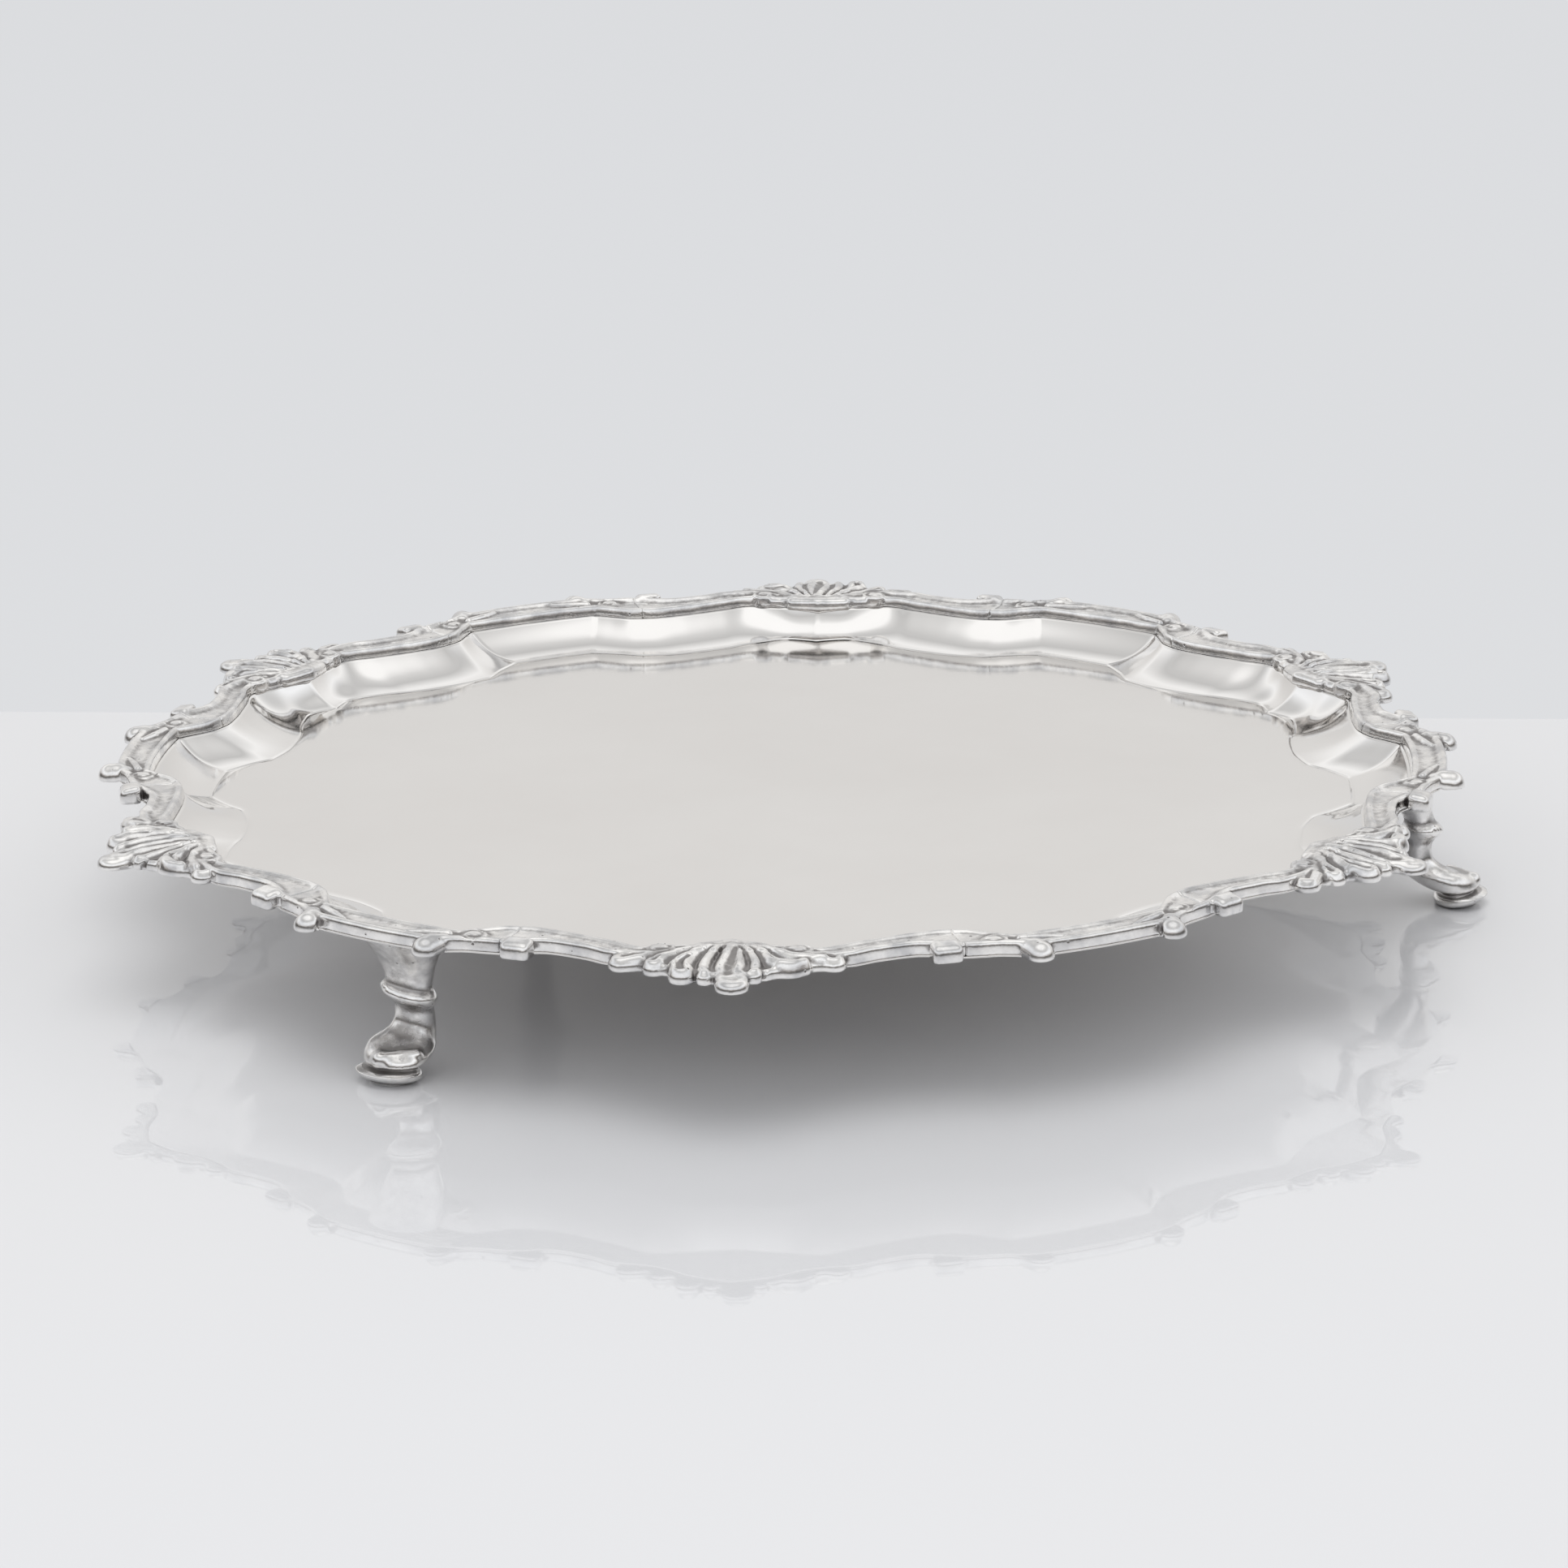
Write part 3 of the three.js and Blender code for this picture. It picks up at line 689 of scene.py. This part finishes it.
def foot_clay(lean):
    """The foot, standing across the X axis: x is how far out, and z the height over the floor."""
    clay = Clay((114, -10, -1), (152, 10, 33))
    rings = np.array(FOOT_RINGS)
    back, front, half_width = [curve_through(rings[:, [0, i]]) for i in (1, 2, 3)]

    def bent(height):
        return lean * (1 - np.clip(height / LEAN_HEIGHT, 0, 1) ** LEAN_POWER)

    def limb(x, y, z):
        slant = TILT * y * fade(z, *TILT_IN) * fade(z, *TILT_OUT)
        toe_lift = TOE_SLOPE * (x - TOE_START + bent(z)) * fade(z, *TOE_FADE)
        level = z + slant - np.maximum(toe_lift, 0)
        middle = (back(level) + front(level)) / 2 - bent(z)
        depth = (front(level) - back(level)) / 2
        width = half_width(level)
        forward = np.clip((x - middle) / depth, 0, 1)
        dent = DENT * forward * hump(y, DENT_HALF_WIDTH) * hump(z - DENT_MIDDLE, DENT_HALF_HEIGHT)
        across = (np.hypot((x - middle) / depth * (1 + dent), y / width) - 1) * np.minimum(depth, width)
        return np.maximum(across, np.maximum(-z, z - KNEE_TOP))

    def leaned(points):
        return [[x - bent(z), y, z, ball] for x, y, z, ball in points]

    clay.add(limb)
    clay.rope(leaned(PAD_LIP), blend=0.7)
    for y in COLLAR_NOTCHES:
        x = COLLAR_MIDDLE + COLLAR_HALF_DEPTH * math.sqrt(1 - (y / COLLAR_HALF_WIDTH) ** 2)
        notch = [[x, y, COLLAR_TOP, NOTCH_RADIUS], [x + 0.2, y, COLLAR_BOTTOM, NOTCH_RADIUS]]
        clay.rope(leaned(notch), blend=0.15, cut=True)
    clay.keep(lambda x, y, z: z - under_sheet(x, y) - SOLDER, blend=SHARP)
    return clay


# ---- Meshes ----


def piece(name, points, faces, node=None, material=None, values=None):
    """A mesh in metres, of faces with equally many corners. It stands for the CAD node, if one is given."""
    mesh = bpy.data.meshes.new(name)
    corners = faces.shape[1]
    mesh.vertices.add(len(points))
    mesh.vertices.foreach_set("co", (points * MM).astype(np.float32).ravel())
    mesh.loops.add(faces.size)
    mesh.loops.foreach_set("vertex_index", faces.astype(np.int32).ravel())
    mesh.polygons.add(len(faces))
    mesh.polygons.foreach_set("loop_start", np.arange(0, faces.size, corners, dtype=np.int32))
    mesh.polygons.foreach_set("use_smooth", np.ones(len(faces), bool))
    for key, value in (values or {}).items():
        attribute = mesh.attributes.new(key, "FLOAT", "POINT")
        attribute.data.foreach_set("value", value.astype(np.float32))
    mesh.update(calc_edges=True)
    mesh.validate()
    thing = bpy.data.objects.new(name, mesh)
    bpy.context.scene.collection.objects.link(thing)
    if material:
        mesh.materials.append(material)
    if node:
        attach(thing, "root")
        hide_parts(node)
    return thing


def turned(points, degrees):
    """Points turned anticlockwise round the Z axis."""
    turn = np.radians(degrees)
    c, s = math.cos(turn), math.sin(turn)
    return points @ np.array([[c, s, 0], [-s, c, 0], [0, 0, 1]])


def copies(name, clay, places, material, lift=0):
    """A casting of the modelled shape in each place, {number: angle}, for its CAD node."""
    deepest = 2  # in steps of the grid
    points, faces = clay.skin()
    hollow = np.clip(clay.hollows(points) / CLAY_STEP, -deepest, deepest)
    points = points + [0, 0, lift]
    for number, angle in places.items():
        node = f"{name}_{number}"
        piece(f"fine_{node}", turned(points, angle), faces, node, material, {"hollow": hollow})


def plate():
    """The sheet: a flat field, a coved wall with creases at its cusps, and a flange under the castings."""
    spacing = 0.375  # in degrees
    tuck = 0.1  # between the wall's top and the moulding's inner edge
    ledge = 0.3  # how far outside the wall's top the flange is level
    bevel, bevel_drop = 0.12, 0.1  # on the rim's two edges
    warp = curve_through(STATIONS)
    foot_angle = np.arange(0, 360, spacing)
    within = foot_angle % SECTOR
    warped = np.where(within > HALF_SECTOR, SECTOR - warp(SECTOR - within), warp(within))
    top_angle = foot_angle - within + warped
    foot, top, rim = field_edge(foot_angle), wall_top(top_angle) - tuck, rim_edge(top_angle)
    rings = []

    def ring(angle, radius, height):
        rings.append(polar(angle, radius, height))

    def cove(share, drop):
        angle = foot_angle + (top_angle - foot_angle) * share
        ring(angle, foot + (top - foot) * share, cove_height(share) - drop)

    for share in np.linspace(0.05, 0.95, 10):
        ring(foot_angle, foot * share, 0)
    for inset, depth in CREASE:
        ring(foot_angle, foot - inset, -depth)
    shares = [0.02, 0.05, *np.linspace(0.1, 1, 26)]
    for share in shares:
        cove(share, 0)
    ring(top_angle, top + ledge, FLANGE_TOP)
    ring(top_angle, rim - bevel, FLANGE_TOP)
    ring(top_angle, rim, FLANGE_TOP - bevel_drop)
    ring(top_angle, rim, FLANGE_BOTTOM + bevel_drop)
    ring(top_angle, rim - bevel, FLANGE_BOTTOM)
    for share in reversed(shares):
        cove(share, sheet_thickness(share))
    for inset in (2, 10, 40, 80):
        ring(foot_angle, foot - inset, -FIELD_THICKNESS)
    return closed_rings(rings, (0, 0, 0), (0, 0, -FIELD_THICKNESS))


def closed_rings(rings, first_middle, last_middle):
    """Rings of points joined into a skin of triangles, with a fan to a middle point at each end."""
    count = len(rings[0])
    place = np.arange(len(rings) - 1)[:, None] * count + np.arange(count)[None, :]
    after = np.roll(place, -1, axis=1)
    quads = np.stack([place, place + count, after + count, after], -1).reshape(-1, 4)
    first = np.arange(count)
    last = first + (len(rings) - 1) * count
    top_middle = len(rings) * count
    top_fan = np.stack([np.full(count, top_middle), first, np.roll(first, -1)], -1)
    bottom_fan = np.stack([np.full(count, top_middle + 1), np.roll(last, -1), last], -1)
    points = np.concatenate([*rings, [first_middle, last_middle]])
    return points, np.concatenate([quads[:, [0, 1, 2]], quads[:, [0, 2, 3]], top_fan, bottom_fan])


# ---- Materials ----


class Nodes:
    """A short way to write a node tree."""

    def __init__(self, tree):
        self.tree = tree
        tree.nodes.clear()

    def add(self, kind, links=None, **settings):
        node = self.tree.nodes.new(kind)
        for key, value in settings.items():
            setattr(node, key, value)
        for socket, value in (links or {}).items():
            target = node.inputs[socket]
            if isinstance(value, bpy.types.NodeSocket):
                self.tree.links.new(value, target)
            else:
                target.default_value = value
        return node

    def ramp(self, value, stops):
        """A colour ramp of stops as (position, grey or colour)."""
        node = self.add("ShaderNodeValToRGB", {"Fac": value})
        elements = node.color_ramp.elements
        while len(elements) < len(stops):
            elements.new(0.5)
        for element, (position, colour) in zip(elements, stops):
            element.position = position
            element.color = (*colour, 1) if isinstance(colour, tuple) else (colour, colour, colour, 1)
        return node.outputs["Color"]

    def noise(self, scale, detail=3, roughness=0.5, stretch=(1, 1, 1)):
        """Noise fixed to the object, with about scale lumps to the metre."""
        place = self.add("ShaderNodeTexCoord").outputs["Object"]
        mapped = self.add("ShaderNodeMapping", {"Vector": place, "Scale": stretch}).outputs["Vector"]
        links = {"Vector": mapped, "Scale": scale, "Detail": detail, "Roughness": roughness}
        return self.add("ShaderNodeTexNoise", links).outputs["Fac"]

    def math(self, operation, a, b):
        return self.add("ShaderNodeMath", {0: a, 1: b}, operation=operation).outputs[0]

    def plus(self, a, b):
        return self.math("ADD", a, b)

    def times(self, a, b):
        return self.math("MULTIPLY", a, b)

    def mix(self, share, a, b):
        node = self.add("ShaderNodeMix", {"Factor": share, "A": a, "B": b}, data_type="RGBA")
        return node.outputs["Result"]

    def metal(self, colour, rough, height, strength, distance):
        """The output of a metal with a bump, whose height is in units of distance in metres."""
        bump = self.add("ShaderNodeBump", {"Height": height, "Strength": strength, "Distance": distance})
        links = {"Base Color": colour, "Metallic": 1.0, "Roughness": rough, "Normal": bump.outputs["Normal"]}
        self.surface(self.add("ShaderNodeBsdfPrincipled", links))

    def surface(self, shader):
        self.add("ShaderNodeOutputMaterial", {"Surface": shader.outputs["BSDF"]})


def new_material(name):
    material = bpy.data.materials.new(name)
    material.use_nodes = True
    return material, Nodes(material.node_tree)


SILVER = (0.93, 0.915, 0.895, 1)
GREYED_SILVER = (0.56, 0.56, 0.57, 1)
OXIDE = (0.16, 0.145, 0.14, 1)
SHEET_COLOURS = (0.865, 0.848, 0.83, 1), (0.9, 0.888, 0.872, 1)
TABLE_COLOURS = (0.76, 0.765, 0.785, 1), (0.79, 0.79, 0.8, 1)


def cast_silver(name, pit_scale, oxide_share):
    """Worn cast silver: bright on its edges, dark oxide in its hollows, and small casting pits."""
    material, n = new_material(name)
    hollow = n.add("ShaderNodeAttribute", attribute_name="hollow").outputs["Fac"]
    cloud = n.noise(700, detail=4, roughness=0.6)
    deep = n.plus(hollow, n.times(n.math("SUBTRACT", cloud, 0.5), 0.9))
    dark = n.ramp(n.plus(deep, 0.3), [(0.12, 0.0), (0.62, oxide_share)])
    place = n.add("ShaderNodeTexCoord").outputs["Object"]
    cells = n.add("ShaderNodeTexVoronoi", {"Vector": place, "Scale": pit_scale, "Randomness": 1.0})
    few = n.ramp(n.noise(260, detail=2), [(0.5, 0.0), (0.62, 1.0)])
    pit = n.times(n.ramp(cells.outputs["Distance"], [(0.07, 1.0), (0.14, 0.0)]), few)
    patches = n.ramp(n.noise(170, detail=4, roughness=0.6), [(0.4, 0.0), (0.66, 0.8)])
    worn = n.mix(dark, n.mix(patches, SILVER, GREYED_SILVER), OXIDE)
    colour = n.mix(n.times(pit, 0.85), worn, OXIDE)
    rough = n.plus(n.plus(n.times(cloud, 0.16), n.times(dark, 0.25)), 0.08)
    fine = n.times(n.noise(1600, roughness=0.6), 0.25)
    swell = n.times(n.noise(110, detail=2, roughness=0.4), 7.0)
    height = n.math("SUBTRACT", n.plus(fine, swell), pit)
    n.metal(colour, rough, height, strength=0.35, distance=0.0002)
    return material


def satin_silver():
    """The hammered and polished sheet: a satin shine with fine hairlines, faint clouds and slow waves."""
    material, n = new_material("satin_silver_sheet")
    lines_along = n.noise(900, detail=2, stretch=(0.05, 1, 1))
    lines_across = n.noise(900, detail=2, stretch=(1, 0.06, 1))
    cloud = n.noise(14, detail=5, roughness=0.6)
    hair = n.plus(n.times(lines_along, 0.6), n.times(lines_across, 0.4))
    colour = n.mix(n.ramp(cloud, [(0.35, 0.0), (0.7, 1.0)]), *SHEET_COLOURS)
    rough = n.plus(n.plus(n.times(hair, 0.06), n.times(cloud, 0.03)), 0.03)
    waves = n.noise(9, detail=2)
    height = n.plus(n.times(hair, 0.012), waves)
    n.metal(colour, rough, height, strength=0.5, distance=0.0004)
    return material


def table_gloss():
    """Pale lacquer, a little cloudy, with a sharp reflection."""
    material, n = new_material("pale_gloss_table")
    colour = n.mix(n.noise(6, detail=2), *TABLE_COLOURS)
    rough = n.plus(n.times(n.noise(300), 0.014), 0.004)
    links = {"Base Color": colour, "Roughness": rough, "Specular IOR Level": 0.65}
    n.surface(n.add("ShaderNodeBsdfPrincipled", links))
    return material


# ---- The studio ----

# How bright the room is by height, from straight down at 0 and level at 0.5 to straight up at 1. The wall
# behind the salver is pale. The other side of the room is dark, up to a bright window.
ROOM_CEILING = [(0.97, 1.08), (1, 1.1)]
ROOM_BEHIND = [(0, 0.8), (0.42, (0.715, 0.725, 0.745)), (0.48, (0.7, 0.705, 0.72)), (0.6, (0.72, 0.71, 0.7)),
               (0.66, (0.78, 0.77, 0.76)), (0.76, 1.0), (0.86, 0.6), (0.93, 0.75), *ROOM_CEILING]
ROOM_IN_FRONT = [(0, 0.8), (0.4, 0.5), (0.46, (0.2, 0.18, 0.16)), (0.55, 0.1), (0.6, (0.35, 0.32, 0.3)),
                 (0.67, (0.87, 0.88, 0.9)), (0.78, (1.03, 1.05, 1.08)), (0.89, 0.6), (0.94, 0.8),
                 *ROOM_CEILING]


def world():
    """A room that depends only on direction, and turns from one side to the other along Y."""
    sky = bpy.data.worlds.new("studio")
    sky.use_nodes = True
    n = Nodes(sky.node_tree)
    direction = n.add("ShaderNodeTexCoord").outputs["Generated"]
    parts = n.add("ShaderNodeSeparateXYZ", {"Vector": direction}).outputs
    height = n.plus(n.times(parts["Z"], 0.5), 0.5)
    depth = n.plus(n.times(parts["Y"], 0.5), 0.5)
    turning = n.ramp(depth, [(0.6, 0.0), (0.85, 1.0)])
    colour = n.mix(turning, n.ramp(height, ROOM_IN_FRONT), n.ramp(height, ROOM_BEHIND))
    background = n.add("ShaderNodeBackground", {"Color": colour, "Strength": 1.0})
    n.add("ShaderNodeOutputWorld", {"Surface": background.outputs["Background"]})
    bpy.context.scene.world = sky


def table_top(material):
    """The glossy table the salver stands on, which ends a little behind it."""
    reach, far_edge, thickness, rounding = 2600, 143.5, 20, 0.6
    heights, depths, widths = (FLOOR - thickness, FLOOR), (-reach, far_edge), (-reach, reach)
    corners = np.array([[x, y, z] for z in heights for y in depths for x in widths], float)
    faces = np.array([[0, 2, 3, 1], [4, 5, 7, 6], [0, 1, 5, 4], [2, 6, 7, 3], [0, 4, 6, 2], [1, 3, 7, 5]])
    table = piece("table", corners, faces, material=material)
    for polygon in table.data.polygons:
        polygon.use_smooth = False
    bevel = table.modifiers.new("edge", "BEVEL")
    bevel.width = rounding * MM
    bevel.segments = 3


def camera():
    """The photograph's view, from its angles, its distance and the salver's place in the picture."""
    around, above, roll = np.radians([4.22, 16.5, 0.88])
    aim_across, aim_up, distance = np.array([-0.0052, 0.038, 7.094]) * RADIUS
    aim = np.array([0, 0, 6.7])  # the middle of the border
    c, s = math.cos(around), math.sin(around)
    level, steep = math.cos(above), math.sin(above)
    right, up = np.array([c, s, 0]), np.array([-s * steep, c * steep, level])
    forward = np.array([-s * level, c * level, -steep])
    place = aim - aim_across * right - aim_up * up - distance * forward
    right, up = math.cos(roll) * right - math.sin(roll) * up, math.sin(roll) * right + math.cos(roll) * up
    data = bpy.data.cameras.new("camera")
    data.lens, data.sensor_width = 117.6, 36
    data.clip_start, data.clip_end = 0.05, 50
    view = bpy.data.objects.new("camera", data)
    rows = [[right[i], up[i], -forward[i], place[i] * MM] for i in range(3)]
    view.matrix_world = Matrix([*rows, [0, 0, 0, 1]])
    bpy.context.scene.collection.objects.link(view)
    bpy.context.scene.camera = view


def soft_box(name, place, aim, size, power):
    """A square lamp in metres and watts that lights the table and isn't seen in the silver."""
    light = bpy.data.lights.new(name, "AREA")
    light.shape = "RECTANGLE"
    light.size, light.size_y = size, size
    light.energy = power
    lamp = bpy.data.objects.new(name, light)
    lamp.location = place
    lamp.rotation_euler = (Vector(aim) - Vector(place)).to_track_quat("-Z", "Y").to_euler()
    lamp.visible_glossy = False
    bpy.context.scene.collection.objects.link(lamp)


# ---- The salver ----

bpy.context.scene.view_settings.view_transform = "Standard"
camera()
world()
table_top(table_gloss())
soft_box("overhead", place=(0, -0.35, 1.7), aim=(0, 0, 0), size=1.3, power=7.4)

points, faces = plate()
piece("fine_salver_plate", points, faces, "salver_plate", satin_silver())
castings = cast_silver("worn_cast_silver", pit_scale=420, oxide_share=0.8)
sectors = {number: (number - 1) * SECTOR for number in range(1, 7)}
copies("shell_casting", shell_clay(), sectors, castings)
copies("scroll_casting", scroll_clay(), sectors, castings)
foot_silver = cast_silver("foot_cast_silver", pit_scale=500, oxide_share=0.6)
for number, lean in enumerate(FOOT_LEANS, 1):
    # The foot is modelled along X, which is 90 degrees round from -Y.
    angle = (number - 1) * 2 * SECTOR - HALF_SECTOR - 90
    copies("foot", foot_clay(lean), {number: angle}, foot_silver, lift=FLOOR)
